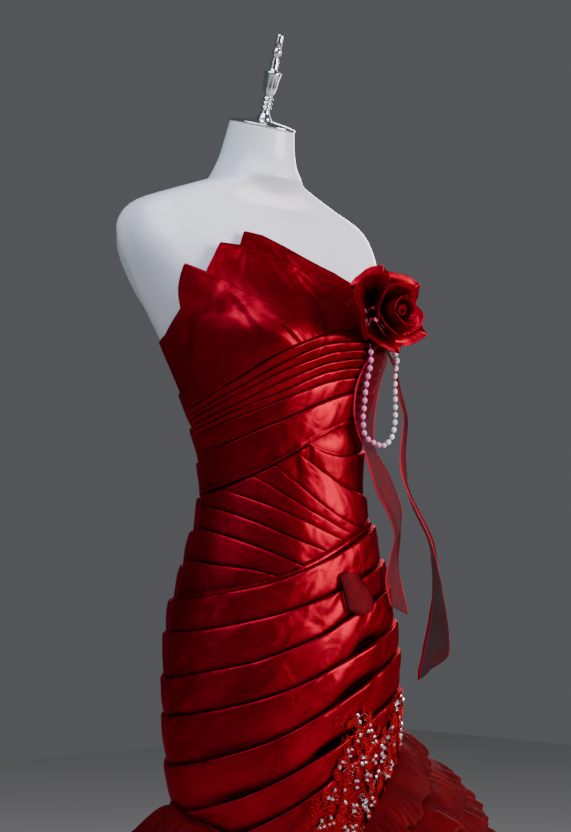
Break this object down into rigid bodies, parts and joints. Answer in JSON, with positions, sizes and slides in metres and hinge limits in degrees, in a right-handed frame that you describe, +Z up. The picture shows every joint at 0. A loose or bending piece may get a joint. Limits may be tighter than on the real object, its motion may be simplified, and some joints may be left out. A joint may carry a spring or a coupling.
{
  "type": "strapless mermaid gown on a limbless display form with a round foot",
  "caption": "Fitted strapless gown with pleated satin panels, a fabric rose, ribbon tails and a flared ruffled skirt, standing on a smooth limbless display form.",
  "frame": {"origin": "middle of the stand's round foot, at the floor", "axes": "+Z up, the front faces -Y, +X is the wearer's left"},
  "size_m": [1.1107, 1.0447, 1.6876],
  "materials": {
    "satin": "satin",
    "organza": "sheer",
    "lace": "matt",
    "pearl": "pearly",
    "shell": "smooth",
    "chrome": "polished"
  },
  "bodies": {
    "root": {"form_torso": "shell", "neck_cap": "chrome", "finial": "chrome", "stand_base": "chrome", "stand_pole": "chrome", "form_collar": "chrome", "bust_fold_1": "satin", "bust_fold_2": "satin", "bust_fold_3": "satin", "bust_band": "satin", "waist_cross": "satin", "hip_wrap_front": "satin", "bodice_back_left": "satin", "hip_wrap_back_left": "satin", "bodice_back_right": "satin", "hip_wrap_back_right": "satin", "back_zip": "satin", "rose_petal_inner_1": "satin", "rose_petal_inner_2": "satin", "rose_petal_inner_3": "satin", "rose_petal_middle_1": "satin", "rose_petal_middle_2": "satin", "rose_petal_middle_3": "satin", "rose_petal_middle_4": "satin", "rose_petal_outer_1": "satin", "rose_petal_outer_2": "satin", "rose_petal_outer_3": "satin", "rose_petal_outer_4": "satin", "rose_petal_outer_5": "satin", "rose_heart": "satin", "ribbon_tail_long": "organza", "ribbon_tail_wide": "organza", "ribbon_loop": "organza", "pearl_strand": "pearl", "lace_spray_front": "lace", "lace_spray_middle": "lace", "lace_spray_left": "lace", "skirt_right": "organza", "skirt_front": "organza", "skirt_left": "organza", "skirt_back": "organza", "ruffle_1": "organza", "ruffle_2": "organza", "ruffle_3": "organza", "ruffle_4": "organza"}
  },
  "joints": []
}
